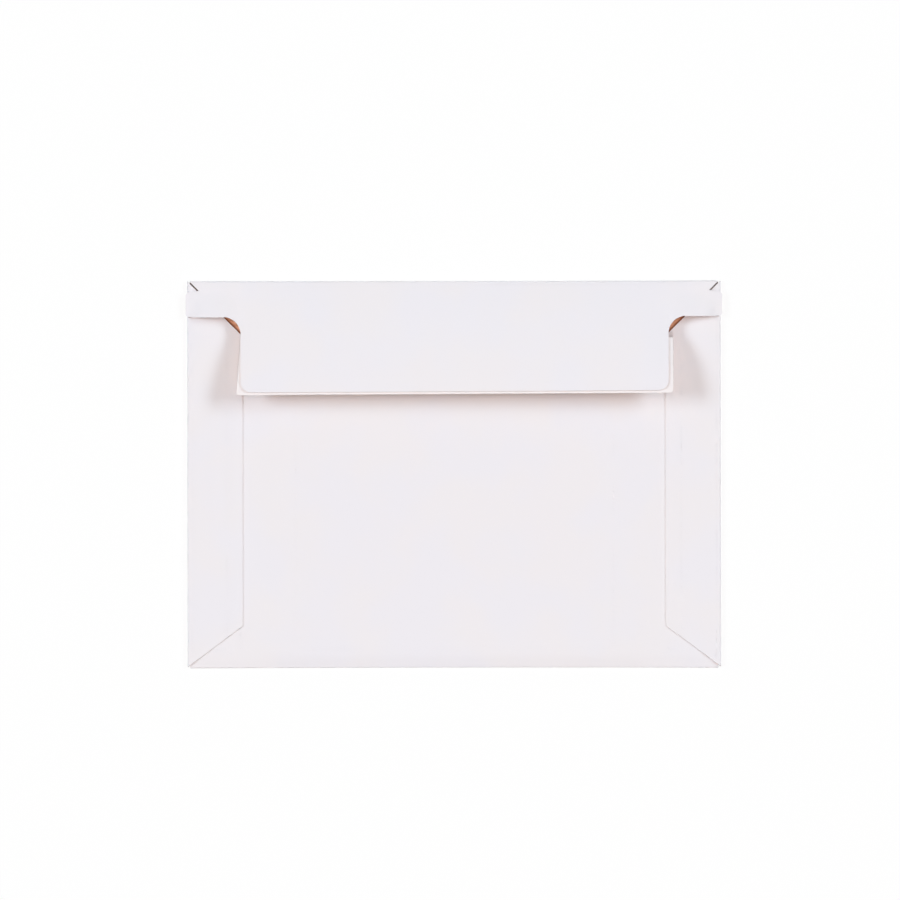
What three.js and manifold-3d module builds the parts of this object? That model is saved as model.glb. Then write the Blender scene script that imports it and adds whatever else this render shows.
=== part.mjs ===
// Self-seal board envelope, lying on its front panel with the closing flap unsealed and standing open.
// Millimetres: X runs along the closing fold, Y up to that fold and Z up through the layers. The origin is on
// the front panel's outer face, under the middle of the pack.

import * as THREE from 'three';
import { mergeVertices } from 'three/addons/utils/BufferGeometryUtils.js';
import Module from 'manifold-3d';

// The folded pack
const packWidth = 250; // over the side folds
const packHeight = 181.4; // bottom fold to closing fold
const boardThickness = 0.4;
const pocketGap = 0.6; // slack between the front and back panels
const panelPlay = 0.3; // from a panel's side to where a side fold begins to bend
const mouthDrop = 26.2; // closing fold to the back panel's top edge

// Side flaps, mitred at both ends and glued over the back panel
const sideFlapWidth = 26.2;
const bottomMitreRise = 19.5;
const topMitreRise = 26.1;
const topMitreInset = 0.05; // closing fold to where the top mitre leaves the side fold
const glueThickness = 0.1;
const glueWidth = 12;
const glueInset = 4; // from a side flap's free edge
const glueEndMargin = 5; // from the mouth and from the bottom mitre

// Closing flap: an ear over each side fold, and a narrower tongue between them
const earOverhang = 0.65; // past the side fold
const earDepth = 16.7; // closing fold to the ears' lower edge
const earTopDrop = 0.6; // of an ear's upper edge, from the relief out to the tip
const earTopRadius = 1.8;
const earCornerRadius = 1.5;
const notchDepth = 4.5; // of the 45 degree relief at each end of the closing fold
const notchInset = 1.1; // side fold to the end of the closing fold
const tongueWidth = 200.8;
const tongueShift = 0.4; // of the tongue's middle, to the right of the pack's
const tongueReach = 51.9; // closing fold to the middle of the free edge, seen from above
const flapSlant = 0.85; // how much further the flap reaches at the tongue's left side than at its right
const shoulderRadius = 7.6; // hollow between an ear and the tongue
const tongueCornerRadius = 3.75;

// How the flap stands
const flapStartAngle = 19; // degrees above level, where it leaves the closing fold
const flapEndAngle = 6.5; // degrees above level, at the free edge
const flapTwist = 0.085; // part of its rise that it gains at the tongue's right side and loses at its left
const earClearance = 0.3; // from the ears' tips to the side flaps below
const earBendWidth = 43; // over which the flap comes down to an ear's tip
const shoulderFade = 27.5; // below the ears, over which the tongue leaves that bend

// Self-seal strip under the tongue
const linerThickness = 0.1;
const linerTop = 26.7; // closing fold to the liner's upper edge
const linerOverhang = 1.15; // past the free edge
const linerRightOverhang = 2;
const linerLeftOverhang = 1.6;
const linerLeftSlant = 1.8; // how far the liner's left end leans in at its top
const adhesiveThickness = 0.12;
const adhesiveMargin = 2.5; // inside the tongue's edges and the liner's upper edge
const bondGap = 0.03; // between the curved faces of the tongue, the adhesive and the liner

// How finely curves are divided, and how far one solid runs into another that it joins or cuts
const quarterSteps = 4; // of each quarter turn of a fold
const flapSteps = 24;
const cornerSteps = 5;
const earSteps = 8; // across the bend of an ear
const middleSteps = 4; // from the middle to where that bend starts
const joinLap = 2;
const cutMargin = 3;
const quarterTurn = Math.PI / 2;

// Heights of the layers, and the bends' radii on the outside of the board
const halfWidth = packWidth / 2;
const halfHeight = packHeight / 2;
const halfBoard = boardThickness / 2;
const backTop = 2 * boardThickness + pocketGap;
const sideUnder = backTop + glueThickness;
const sideTop = sideUnder + boardThickness;
const bottomRadius = backTop / 2;
const sideRadius = sideTop / 2;
const panelHalf = halfWidth - sideRadius - panelPlay;
const mouthY = halfHeight - mouthDrop;

// The closing fold and the flap are arcs that meet smoothly, given to the middle of the board in the YZ plane
const startAngle = THREE.MathUtils.degToRad(flapStartAngle);
const endAngle = THREE.MathUtils.degToRad(flapEndAngle);
const flapUnder = sideTop + earClearance; // inner face where the flap leaves the fold
const foldRadius = (flapUnder - halfBoard * (1 - Math.cos(startAngle))) / (1 + Math.cos(startAngle));
const foldCentre = new THREE.Vector2(halfHeight - foldRadius - halfBoard, foldRadius + halfBoard);
const flapStart = new THREE.Vector2(Math.sin(startAngle), Math.cos(startAngle))
  .multiplyScalar(foldRadius)
  .add(foldCentre);
const flapRun = flapStart.x - (halfHeight - tongueReach);
const flapRadius = flapRun / (Math.sin(startAngle) - Math.sin(endAngle));
const flapCentre = new THREE.Vector2(Math.sin(startAngle), Math.cos(startAngle))
  .multiplyScalar(-flapRadius)
  .add(flapStart);
const flapTop = flapCentre.y + flapRadius + halfBoard;

// Edges of the closing flap and the self-seal strip, seen from above
const earHalf = halfWidth + earOverhang;
const earBendStart = earHalf - earBendWidth;
const tongueHalf = tongueWidth / 2;
const foldEnd = halfWidth - notchInset;
const notchY = halfHeight - notchDepth;
const earY = halfHeight - earDepth;
const freeY = halfHeight - tongueReach;
const tongueLeft = tongueShift - tongueHalf;
const tongueRight = tongueShift + tongueHalf;
const linerTopY = halfHeight - linerTop;

const { Manifold, Mesh } = await loadManifold();

async function loadManifold() {
  const library = await Module();
  library.setup();
  return library;
}

// A closed geometry as a solid that can be joined and cut.
function toSolid(geometry) {
  geometry.deleteAttribute('normal');
  geometry.deleteAttribute('uv');
  const merged = mergeVertices(geometry);
  const vertProperties = Float32Array.from(merged.attributes.position.array);
  const triVerts = Uint32Array.from(merged.index.array);
  return new Manifold(new Mesh({ numProp: 3, vertProperties, triVerts }));
}

function toGeometry(solid) {
  const { vertProperties, triVerts } = solid.getMesh();
  const geometry = new THREE.BufferGeometry();
  geometry.setAttribute('position', new THREE.BufferAttribute(vertProperties, 3));
  geometry.setIndex(new THREE.BufferAttribute(triVerts, 1));
  geometry.computeVertexNormals();
  return geometry;
}

// Points of an arc from one angle to another, both in radians.
function arc(centre, radius, from, to, steps) {
  return Array.from({ length: steps + 1 }, (_, i) => {
    const angle = from + ((to - from) * i) / steps;
    return new THREE.Vector2(centre.x + radius * Math.cos(angle), centre.y + radius * Math.sin(angle));
  });
}

// A closed outline from corners [x, y, radius]; a corner with no radius stays sharp.
function roundedOutline(corners) {
  return corners.flatMap(([x, y, radius], i) => {
    const corner = new THREE.Vector2(x, y);
    if (!radius) return [corner];
    const [beforeX, beforeY] = corners.at(i - 1);
    const [afterX, afterY] = corners[(i + 1) % corners.length];
    const toBefore = new THREE.Vector2(beforeX, beforeY).sub(corner).normalize();
    const toAfter = new THREE.Vector2(afterX, afterY).sub(corner).normalize();
    const halfTurn = toBefore.angleTo(toAfter) / 2;
    const toCentre = toBefore.clone().add(toAfter).setLength(radius / Math.sin(halfTurn));
    const toTangent = toBefore.clone().setLength(radius / Math.tan(halfTurn));
    const first = toTangent.sub(toCentre).angle();
    const sweep = Math.sign(toAfter.cross(toBefore)) * (Math.PI - 2 * halfTurn);
    return arc(toCentre.add(corner), radius, first, first + sweep, cornerSteps);
  });
}

function extrude(outline, depth, { steps = 1, holes = [] } = {}) {
  const shape = new THREE.Shape(outline);
  shape.holes = holes.map((hole) => new THREE.Path(hole));
  return new THREE.ExtrudeGeometry(shape, { depth, steps, bevelEnabled: false });
}

// A plan outline made upright between two heights.
function prism(outline, from, to, ...holes) {
  return toSolid(extrude(outline, to - from, { holes }).translate(0, 0, from));
}

function rectangle(halfX, lowY, highY) {
  return roundedOutline([[-halfX, lowY], [halfX, lowY], [halfX, highY], [-halfX, highY]]);
}

// A YZ section carried along X through the given layers; shift(x, y, z) gives each point its height.
function carryAlongX(section, layers, shift) {
  const steps = layers.length - 1;
  const geometry = extrude(section, 1, { steps });
  const toYZX = new THREE.Matrix4().makeBasis(
    new THREE.Vector3(0, 1, 0),
    new THREE.Vector3(0, 0, 1),
    new THREE.Vector3(1, 0, 0),
  );
  geometry.applyMatrix4(toYZX);
  const { position } = geometry.attributes;
  for (let i = 0; i < position.count; i += 1) {
    const x = layers[Math.round(position.getX(i) * steps)];
    const y = position.getY(i);
    position.setXYZ(i, x, y, shift(x, y, position.getZ(i)));
  }
  return toSolid(geometry);
}

// An XZ section carried along Y.
function carryAlongY(section, from, to) {
  const toXZY = new THREE.Matrix4().makeBasis(
    new THREE.Vector3(1, 0, 0),
    new THREE.Vector3(0, 0, 1),
    new THREE.Vector3(0, -1, 0),
  );
  return toSolid(extrude(section, to - from).applyMatrix4(toXZY).translate(0, to, 0));
}

// Angle of the flap's arc at a place given by Y.
function flapAngleAt(y) {
  return Math.acos((Math.min(y, flapStart.x) - flapCentre.x) / flapRadius);
}

// The flap out of its arc: twisted up to the right, with its ears pressed down. An ear has no rise at its
// tip, leaves it straight and has all of its rise where the bend starts. The tongue below the ears leaves
// that bend.
function standFlap(x, y, z) {
  const rise = flapRadius * (Math.sin(flapAngleAt(y)) - Math.cos(startAngle));
  const fromTip = THREE.MathUtils.clamp((earHalf - Math.abs(x)) / earBendWidth, 0, 1);
  const earLoss = 1 - (fromTip * (3 - fromTip ** 2)) / 2;
  const belowEar = THREE.MathUtils.smoothstep(earY - y, 0, shoulderFade);
  const kept = (1 + (flapTwist * x) / tongueHalf) * (1 - earLoss * (1 - belowEar));
  return z + rise * (kept - 1);
}

// Places along X between which the flap and the strip under it are straight.
function flapLayers() {
  const inner = Array.from({ length: middleSteps }, (_, i) => (earBendStart * (i + 1)) / middleSteps);
  const earStep = earBendWidth / earSteps;
  const outer = Array.from({ length: earSteps }, (_, i) => earBendStart + earStep * (i + 1));
  const right = [...inner, ...outer];
  return [...right.map((x) => -x).reverse(), 0, ...right];
}

// Y of a place on the flap, which leans to its longer left side.
function leanY(x, y) {
  return y + (flapSlant * (x - tongueShift) * (halfHeight - y)) / (tongueWidth * tongueReach);
}

// One face of the closing fold: a quarter turn out to the pack's top, then back over to the flap.
function closingFold(radius) {
  const rising = arc(foldCentre, radius, -quarterTurn, 0, quarterSteps);
  return [...rising, ...arc(foldCentre, radius, 0, quarterTurn - startAngle, quarterSteps).slice(1)];
}

// Section through the back panel, the bottom fold, the front panel, the closing fold and the flap.
function stripSection() {
  const bottomCentre = new THREE.Vector2(bottomRadius - halfHeight, bottomRadius);
  const foldAngle = quarterTurn - startAngle;
  const freeAngle = flapAngleAt(freeY - flapSlant - cutMargin);
  const outer = [
    new THREE.Vector2(mouthY, backTop),
    ...arc(bottomCentre, bottomRadius, quarterTurn, 3 * quarterTurn, 2 * quarterSteps),
    ...closingFold(foldRadius + halfBoard),
    ...arc(flapCentre, flapRadius + halfBoard, foldAngle, freeAngle, flapSteps).slice(1),
  ];
  const inner = [
    new THREE.Vector2(mouthY, backTop - boardThickness),
    ...arc(bottomCentre, bottomRadius - boardThickness, quarterTurn, 3 * quarterTurn, 2 * quarterSteps),
    ...closingFold(foldRadius - halfBoard),
    ...arc(flapCentre, flapRadius - halfBoard, foldAngle, freeAngle, flapSteps).slice(1),
  ];
  return [...outer, ...inner.reverse()];
}

// Corners of one side of the closing flap, from the end of the fold down to the free edge.
function flapCorners(side, tongueX) {
  const corners = [
    [side * (foldEnd + cutMargin), halfHeight + cutMargin],
    [side * (foldEnd - notchDepth), notchY],
    [side * earHalf, notchY - earTopDrop, earTopRadius],
    [side * earHalf, earY, earCornerRadius],
    [tongueX, earY, shoulderRadius],
    [tongueX, freeY, tongueCornerRadius],
  ];
  return corners.map(([x, y, radius]) => [x, leanY(x, y), radius]);
}

function flapOutline() {
  return roundedOutline([...flapCorners(1, tongueRight), ...flapCorners(-1, tongueLeft).reverse()]);
}

// The mitres of a side flap: Y for a distance from the pack's middle.
function bottomMitreY(x) {
  return ((halfWidth - x) * bottomMitreRise) / sideFlapWidth - halfHeight;
}

function topMitreY(x) {
  return halfHeight - topMitreInset - ((halfWidth - x) * topMitreRise) / sideFlapWidth;
}

// A side flap with its fold and a lap that joins the front panel; side is 1 on the right and -1 on the left.
function sideFlap(side) {
  const bend = new THREE.Vector2(halfWidth - sideRadius, sideRadius);
  const freeX = halfWidth - sideFlapWidth;
  const lapX = panelHalf - joinLap;
  const section = [
    new THREE.Vector2(lapX, 0),
    ...arc(bend, sideRadius, -quarterTurn, quarterTurn, 2 * quarterSteps),
    new THREE.Vector2(freeX, sideTop),
    new THREE.Vector2(freeX, sideUnder),
    ...arc(bend, sideRadius - boardThickness, quarterTurn, -quarterTurn, 2 * quarterSteps),
    new THREE.Vector2(lapX, boardThickness),
  ].map(({ x, y }) => new THREE.Vector2(side * x, y));
  const pastFold = halfWidth + cutMargin;
  const outline = [
    [freeX, bottomMitreY(freeX)],
    [pastFold, bottomMitreY(pastFold)],
    [pastFold, topMitreY(pastFold)],
    [freeX, topMitreY(freeX)],
  ].map(([x, y]) => new THREE.Vector2(side * x, y));
  const length = halfHeight + cutMargin;
  return carryAlongY(section, -length, length).intersect(prism(outline, -cutMargin, sideTop + cutMargin));
}

// The whole folded sheet: one strip folded along its length, trimmed to the panels below and to the flap
// above, with the side flaps joined on.
function boardBlank() {
  const foldStrip = (x, y, z) => (z < sideUnder ? z : standFlap(x, y, z));
  const farX = earHalf + cutMargin;
  const farY = halfHeight + cutMargin;
  const around = rectangle(farX, -farY - cutMargin, farY + cutMargin);
  const panelOffcut = prism(around, -cutMargin, sideUnder, rectangle(panelHalf, -farY, farY));
  const flapOffcut = prism(around, sideUnder, flapTop + cutMargin, flapOutline());
  return carryAlongX(stripSection(), flapLayers(), foldStrip)
    .subtract(panelOffcut)
    .subtract(flapOffcut)
    .add(sideFlap(1))
    .add(sideFlap(-1));
}

// A thin band that follows the inside of the tongue, from a depth below the board's inner face.
function bandUnderTongue(depth, thickness, outline) {
  const outside = flapRadius - halfBoard - depth;
  const from = flapAngleAt(linerTopY + cutMargin);
  const to = flapAngleAt(freeY - flapSlant - linerOverhang - cutMargin);
  const section = [
    ...arc(flapCentre, outside, from, to, flapSteps),
    ...arc(flapCentre, outside - thickness, to, from, flapSteps),
  ];
  return carryAlongX(section, flapLayers(), standFlap).intersect(prism(outline, 0, flapTop + cutMargin));
}

function releaseLiner() {
  const leftX = tongueLeft - linerLeftOverhang;
  const rightX = tongueRight + linerRightOverhang;
  const outline = roundedOutline([
    [leftX, leanY(leftX, freeY) - linerOverhang],
    [rightX, leanY(rightX, freeY) - linerOverhang],
    [rightX, linerTopY],
    [leftX + linerLeftSlant, linerTopY],
  ]);
  return bandUnderTongue(adhesiveThickness + 2 * bondGap, linerThickness, outline);
}

function sealAdhesive() {
  const leftX = tongueLeft + adhesiveMargin;
  const rightX = tongueRight - adhesiveMargin;
  const outline = roundedOutline([
    [leftX, leanY(leftX, freeY) + adhesiveMargin],
    [rightX, leanY(rightX, freeY) + adhesiveMargin],
    [rightX, linerTopY - adhesiveMargin],
    [leftX, linerTopY - adhesiveMargin],
  ]);
  return bandUnderTongue(bondGap, adhesiveThickness, outline);
}

// The glue line between a side flap and the back panel, its lower end cut along the mitre.
function seamGlue(side) {
  const innerX = halfWidth - sideFlapWidth + glueInset;
  const outerX = innerX + glueWidth;
  const topY = mouthY - glueEndMargin;
  const outline = [
    [innerX, bottomMitreY(innerX) + glueEndMargin],
    [outerX, bottomMitreY(outerX) + glueEndMargin],
    [outerX, topY],
    [innerX, topY],
  ].map(([x, y]) => new THREE.Vector2(side * x, y));
  return prism(outline, backTop, sideUnder);
}

function piece(name, solid, color, roughness) {
  const material = new THREE.MeshStandardMaterial({ color, roughness, metalness: 0 });
  const mesh = new THREE.Mesh(toGeometry(solid), material);
  mesh.name = name;
  return mesh;
}

const envelope = new THREE.Group();
envelope.add(piece('board_blank', boardBlank(), 0xefecf0, 0.6));
envelope.add(piece('release_liner', releaseLiner(), 0xf4f2f3, 0.45));
envelope.add(piece('seal_adhesive', sealAdhesive(), 0xe9e2c8, 0.3));
envelope.add(piece('left_seam_glue', seamGlue(-1), 0xe6ddc6, 0.5));
envelope.add(piece('right_seam_glue', seamGlue(1), 0xe6ddc6, 0.5));

export default envelope;
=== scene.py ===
"""Self-seal board envelope, lying on its front panel with the closing flap unsealed and standing open.

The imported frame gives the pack's height and the glue lines. The folded board, the release liner and the
adhesive are surfaces worked out with numpy. Metres: X runs along the closing fold, Y up to that fold and
Z up through the layers.
"""

import math

import bpy
import numpy as np
from bpy.props import FloatProperty, FloatVectorProperty, PointerProperty
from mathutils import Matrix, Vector


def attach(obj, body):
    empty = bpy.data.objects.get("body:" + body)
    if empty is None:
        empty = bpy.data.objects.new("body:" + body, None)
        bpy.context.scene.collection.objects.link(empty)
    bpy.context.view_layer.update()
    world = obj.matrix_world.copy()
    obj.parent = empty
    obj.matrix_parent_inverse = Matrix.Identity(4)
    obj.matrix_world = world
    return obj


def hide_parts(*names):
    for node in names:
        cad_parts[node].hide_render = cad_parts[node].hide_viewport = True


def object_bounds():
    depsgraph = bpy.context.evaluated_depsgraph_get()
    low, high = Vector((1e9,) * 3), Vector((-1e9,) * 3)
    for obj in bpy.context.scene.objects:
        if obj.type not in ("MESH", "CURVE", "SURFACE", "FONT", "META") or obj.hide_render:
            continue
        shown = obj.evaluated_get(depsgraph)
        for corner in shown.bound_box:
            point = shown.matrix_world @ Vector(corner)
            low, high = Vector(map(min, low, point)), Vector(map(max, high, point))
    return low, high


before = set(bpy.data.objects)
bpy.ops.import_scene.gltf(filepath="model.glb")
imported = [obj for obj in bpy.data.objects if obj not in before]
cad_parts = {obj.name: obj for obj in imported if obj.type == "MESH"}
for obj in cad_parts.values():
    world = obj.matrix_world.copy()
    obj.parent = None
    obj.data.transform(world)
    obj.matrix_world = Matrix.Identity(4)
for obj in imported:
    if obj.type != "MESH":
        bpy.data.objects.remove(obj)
CAD_LOW, CAD_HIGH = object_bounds()

bl_info = {
    "name": "Self-seal board envelope",
    "version": (1, 0, 0),
    "blender": (4, 5, 0),
    "location": "View3D > Sidebar > Envelope",
    "description": "Builds a self-seal board envelope around its packed frame",
    "category": "Mesh",
}

MM = 0.001
BODY = "root"
WHITE = (1, 1, 1, 1)


# Settings that a user would change

def length(name, description, default):
    """A size in metres."""
    return FloatProperty(name=name, description=description, default=default, unit="LENGTH", precision=5)


def angle(name, description, degrees):
    """A turn, given in degrees and kept in radians."""
    return FloatProperty(name=name, description=description, default=math.radians(degrees), subtype="ANGLE")


def share(name, description, default):
    """A part of a whole, from 0 to 1."""
    return FloatProperty(name=name, description=description, default=default, subtype="FACTOR", min=0, max=1)


def colour(name, description, default):
    """A linear colour."""
    return FloatVectorProperty(name=name, description=description, default=default, subtype="COLOR",
                               min=0, max=1)


class EnvelopeBoard(bpy.types.PropertyGroup):
    """The folded pack: its panels and its side flaps."""

    width: length("Width", "Over the side folds", 250 * MM)
    height: length("Height", "Bottom fold to closing fold", CAD_HIGH.y - CAD_LOW.y)
    thickness: length("Board", "Thickness of the board", 0.4 * MM)
    pocket_gap: length("Pocket gap", "Between the panels where the side flaps hold them", 0.6 * MM)
    panel_play: length("Panel play", "From a panel's side to where a side fold bends", 0.3 * MM)
    mouth_drop: length("Mouth drop", "Closing fold to the back panel's top edge", 26.2 * MM)
    side_flap: length("Side flap", "Width of a side flap", 25.85 * MM)
    bottom_mitre: length("Bottom mitre", "Rise of a side flap's lower mitre", 19.2 * MM)
    top_mitre: length("Top mitre", "Drop of a side flap's upper mitre", 25.75 * MM)
    top_inset: length("Top inset", "Closing fold to where the upper mitre starts", 0.05 * MM)
    bottom_inset: length("Bottom inset", "Bottom fold to where the lower mitre starts", 0.5 * MM)
    mitre_bevel: length("Mitre bevel", "How far the coated face stands back at a lower mitre", 0.1 * MM)
    glue: length("Glue", "Thickness of the glue under a side flap", 0.1 * MM)
    pinch: length("Pinch", "Thickness of the pack at its bottom fold", 1.0 * MM)
    bottom_hollow: length("Bottom hollow", "How far the bottom fold's middle draws in", 0.25 * MM)
    top_hollow: length("Top hollow", "How far the closing fold's middle draws in", 0.18 * MM)
    bow: length("Bow", "How far the back panel bows out between the side flaps", 0.5 * MM)
    ramp: length("Ramp", "Over which the back panel rises straight from the bottom fold", 3.0 * MM)
    ramp_end: length("Ramp end", "From the bottom fold to where that rise has eased off", 7.0 * MM)
    bow_edge: length("Bow edge", "Over which the bow fades toward the side flaps", 22 * MM)
    seam_sink: length("Seam sink", "How far a side flap's free edge is pressed in", 0.08 * MM)
    seam_reach: length("Seam reach", "Over which it is pressed in", 6 * MM)


class EnvelopeFlap(bpy.types.PropertyGroup):
    """The closing flap: an ear over each side fold, a narrower tongue between them and how they stand."""

    ear_overhang: length("Ear overhang", "Past the side fold", 0.65 * MM)
    ear_depth: length("Ear depth", "Closing fold to the ears' lower edge", 16.75 * MM)
    ear_top_drop: length("Ear top drop", "Of an ear's upper edge, from the relief to the tip", 0.6 * MM)
    ear_top_radius: length("Ear top radius", "Upper corner of an ear", 1.8 * MM)
    ear_corner_radius: length("Ear corner radius", "Lower corner of an ear", 1.5 * MM)
    notch_depth: length("Notch depth", "Of the relief at each end of the closing fold", 4.5 * MM)
    notch_inset: length("Notch inset", "Side fold to the end of the closing fold", 0.95 * MM)
    tongue_width: length("Tongue width", "Across the tongue", 200.2 * MM)
    tongue_shift: length("Tongue shift", "Of the tongue's middle, to the right", 0.27 * MM)
    tongue_reach: length("Tongue reach", "Closing fold to the middle of the free edge", 51.9 * MM)
    slant: length("Slant", "How much further the flap reaches at the tongue's left side", 0.85 * MM)
    shoulder_radius: length("Shoulder radius", "Hollow between an ear and the tongue", 8.3 * MM)
    tongue_radius: length("Tongue radius", "Corners of the tongue", 4.9 * MM)
    start_angle: angle("Start angle", "Above level where the flap leaves the closing fold", 19)
    end_angle: angle("End angle", "Above level at the free edge", 6.5)
    twist: share("Twist", "Part of its rise, gained at the tongue's right and lost at its left", 0.085)
    ear_clearance: length("Ear clearance", "From the ears' tips to the side flaps", 0.12 * MM)
    ear_curl: length("Ear curl", "How far an ear's lower edge curls up", 2.0 * MM)
    ear_tip: length("Ear tip", "Over which the curl ends toward an ear's tip", 8 * MM)
    ear_bevel: length("Ear bevel", "How far the coated face stands back at an ear's lower edge", 0.06 * MM)
    ear_bend: length("Ear bend", "Over which the flap comes down to an ear's tip", 50 * MM)
    shoulder_fade: length("Shoulder fade", "Below the ears, over which the tongue leaves that bend", 24 * MM)


class EnvelopeStrip(bpy.types.PropertyGroup):
    """The self-seal strip under the tongue."""

    liner_thickness: length("Liner", "Thickness of the release paper", 0.1 * MM)
    liner_top: length("Liner top", "Closing fold to the liner's upper edge", 26.7 * MM)
    liner_overhang: length("Liner overhang", "Past the free edge", 1.15 * MM)
    liner_right: length("Liner right", "Past the tongue's right side", 2.1 * MM)
    liner_left: length("Liner left", "Past the tongue's left side at the free edge", 1.9 * MM)
    liner_slant: length("Liner slant", "How far the left end leans in at its top", 1.8 * MM)
    liner_radius: length("Liner corner", "Round of the lower right corner", 1.4 * MM)
    liner_droop: length("Liner droop", "How far the unstuck lower margin hangs away", 0.12 * MM)
    adhesive_thickness: length("Adhesive", "Thickness of the adhesive", 0.12 * MM)
    adhesive_margin: length("Adhesive margin", "Inside the tongue and the liner's upper edge", 2.5 * MM)
    bond_gap: length("Bond gap", "Between the tongue, the adhesive and the liner", 0.03 * MM)


class EnvelopeColours(bpy.types.PropertyGroup):
    """Colours of the board's layers and of the strip."""

    cool_white: colour("Cool white", "Coated face, cool patches", (0.860, 0.836, 0.880))
    warm_white: colour("Warm white", "Coated face, warm patches", (0.872, 0.838, 0.862))
    kraft: colour("Kraft", "Inner face", (0.950, 0.525, 0.330))
    dark_kraft: colour("Dark kraft", "Fibres of the inner face", (0.620, 0.290, 0.170))
    # painted shadow: the shade that the side flaps' cut edges cast on the inner face beside their upper
    # mitres
    mitre_shadow_kraft: colour("Mitre shadow kraft", "Inner face beside the mitres", (0.400, 0.165, 0.100))
    # painted shade: a dark grey that stands for shadowed white board in the slits at the upper corners
    corner_slit_shade: colour("Corner slit shade", "Inner face in the upper corners", (0.400, 0.370, 0.375))
    core: colour("Core", "Cut edge of the board", (0.620, 0.615, 0.625))
    liner: colour("Liner", "Release paper, coated side", (0.882, 0.838, 0.850))
    liner_back: colour("Liner back", "Release paper, plain side", (0.740, 0.520, 0.360))
    adhesive: colour("Adhesive", "Self-seal adhesive", (0.800, 0.740, 0.520))
    glue: colour("Glue", "Seam glue", (0.780, 0.700, 0.520))


class EnvelopeStage(bpy.types.PropertyGroup):
    """Camera, light and floor."""

    camera_height: length("Camera height", "Above the floor", 5.0)
    view_width: length("View width", "What the picture spans on the floor", 421.8 * MM)
    view_x: length("View X", "Middle of the picture", -1.92 * MM)
    view_y: length("View Y", "Middle of the picture", 11.42 * MM)
    roll: angle("Roll", "Turn of the camera about its axis", -0.08)
    level: share("Level", "Of all the light", 0.972)
    key_share: share("Key share", "Part of the floor's light from each side key", 0.29)
    key_tint: colour("Key tint", "Colour of the keys; the other light makes up for it", (0.80, 0.94, 1.0))
    right_bearing: angle("Right bearing", "Of the right key, from the right toward the closing fold", 21)
    right_breadth: angle("Right breadth", "How wide the right key looks from the envelope", 31)
    left_bearing: angle("Left bearing", "Of the left key, from the left toward the closing fold", 12.2)
    left_breadth: angle("Left breadth", "How wide the left key looks from the envelope", 24)
    key_elevation: angle("Key elevation", "Of the keys", 34.6)
    key_depth: angle("Key depth", "How tall a key looks from the envelope", 14)
    fill_share: share("Fill share", "Part of the floor's light from the front fill", 0.20)
    fill_elevation: angle("Fill elevation", "Of the front fill", 62)
    top_part: share("Top part", "Of the light that keys and fill leave, from above", 0.8)
    soft_breadth: angle("Soft breadth", "How wide the fill and the top light look", 3)
    soft_depth: angle("Soft depth", "How tall the fill and the top light look", 30)
    lamp_distance: length("Lamp distance", "From the envelope to the lamps", 6.0)
    floor_size: length("Floor size", "Side of the floor", 12.0)
    floor_glow: share("Floor glow", "Part of the floor's white that a shadow does not darken", 0.85)


# Surfaces

X, Y, Z, TRACE, BEVEL = range(5)  # layers of a grid: place, trace of a fold and bevel
WELD_STEP = 1e-6  # metres within which two points are one
LEAST_AREA = 1e-13  # square metres, below which a grid cell is no face
SHARP_ANGLE = math.radians(40)


def smoothstep(value, low, high):
    """0 at low, 1 at high, and level at both: 3 t squared less 2 t cubed."""
    t = np.clip((value - low) / (high - low), 0, 1)
    return t * t * (3 - 2 * t)


def sweep(start, stop, steps):
    """Angles of an arc, from start to stop in degrees."""
    return np.radians(np.linspace(start, stop, steps + 1))


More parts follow.
